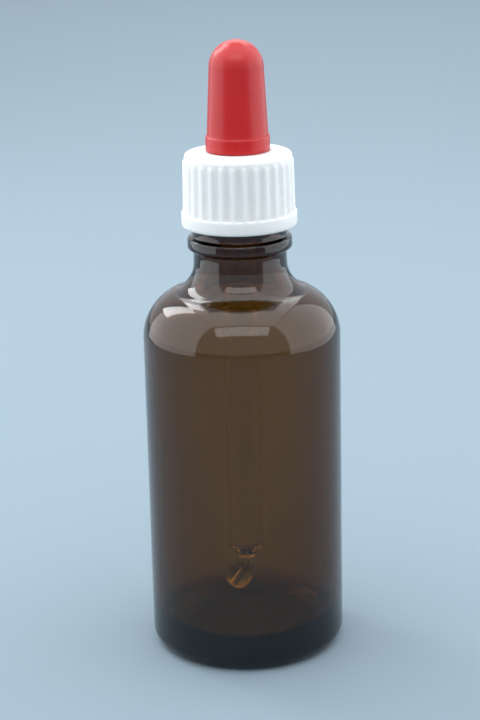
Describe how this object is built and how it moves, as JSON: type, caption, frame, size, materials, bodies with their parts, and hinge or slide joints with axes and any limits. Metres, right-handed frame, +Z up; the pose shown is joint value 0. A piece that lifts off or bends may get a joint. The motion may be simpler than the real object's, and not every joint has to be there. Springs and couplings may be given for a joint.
{
  "type": "dropper bottle",
  "caption": "Amber glass dropper bottle with a ribbed screw cap, a rubber bulb and a glass pipette with a bent ball tip.",
  "frame": {"origin": "centre of the ring that the bottle stands on", "axes": "+Z up along the bottle's axis; the pipette's ball tip is bent towards -X"},
  "size_m": [0.037, 0.037, 0.116],
  "materials": {
    "amber_glass": "smooth moulded amber glass",
    "white_plastic": "satin moulded polypropylene",
    "red_rubber": "smooth natural rubber",
    "clear_glass": "fire-polished drawn tube"
  },
  "bodies": {
    "bottle": {"bottle": "amber_glass"},
    "pipette": {"pipette": "clear_glass"},
    "bulb": {"bulb": "red_rubber"},
    "cap": {"cap": "white_plastic"}
  },
  "joints": [
    {"name": "lift_out", "type": "slide", "parent": "bottle", "child": "pipette", "axis": [0, 0, 1], "range_m": [0, 0.1]},
    {"name": "cap_rise", "type": "slide", "parent": "pipette", "child": "bulb", "axis": [0, 0, 1], "range_m": [0, 0.00375]},
    {"name": "cap_turn", "type": "hinge", "parent": "bulb", "child": "cap", "pos_m": [0, 0, 0.09], "axis": [0, 0, 1], "range_deg": [0, 450]}
  ],
  "couplings": [
    {"joint": "cap_turn", "follows": "cap_rise", "rad_per_m": 2094.4}
  ]
}
